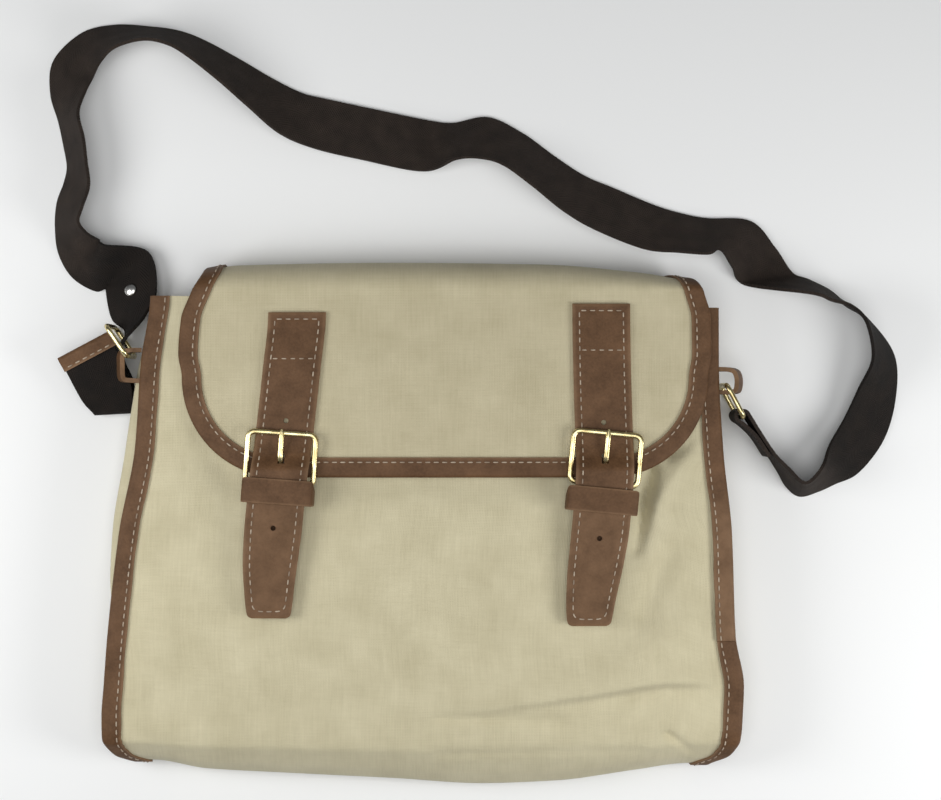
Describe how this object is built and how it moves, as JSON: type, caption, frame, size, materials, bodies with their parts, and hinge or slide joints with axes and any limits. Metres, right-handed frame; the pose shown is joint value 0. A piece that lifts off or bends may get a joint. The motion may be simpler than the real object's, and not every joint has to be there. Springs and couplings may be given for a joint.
{
  "type": "crossbody bag",
  "caption": "Flat canvas satchel with leather-bound seams and flap, buckled closure straps, side rings and a webbing shoulder strap, lying on its back.",
  "frame": {"origin": "on the back's outer face, under the middle of the body", "axes": "+X across the bag to the picture's right, +Y up the bag towards its flap fold, +Z out of the front, away from the surface it lies on"},
  "size_m": [0.5067, 0.4529, 0.0637],
  "materials": {
    "canvas": "heavy cotton canvas",
    "leather": "waxed, semi-matt",
    "brass": "polished, a little worn",
    "webbing": "close cotton webbing",
    "nickel": "polished nickel"
  },
  "bodies": {
    "root": {"body_panel": "canvas", "side_panel_left": "canvas", "side_panel_right": "canvas", "flap": "canvas", "binding_left": "leather", "binding_right": "leather", "flap_binding": "leather", "closure_strap_left": "leather", "closure_strap_right": "leather", "keeper_left": "leather", "keeper_right": "leather", "anchor_left": "leather", "anchor_right": "leather", "side_tab_left": "leather", "side_tab_right": "leather", "strap_end_cap": "leather", "buckle_left": "brass", "buckle_right": "brass", "prong_left": "brass", "prong_right": "brass", "ring_left": "brass", "ring_right": "brass", "shoulder_strap": "webbing", "rivet": "nickel"}
  },
  "joints": []
}
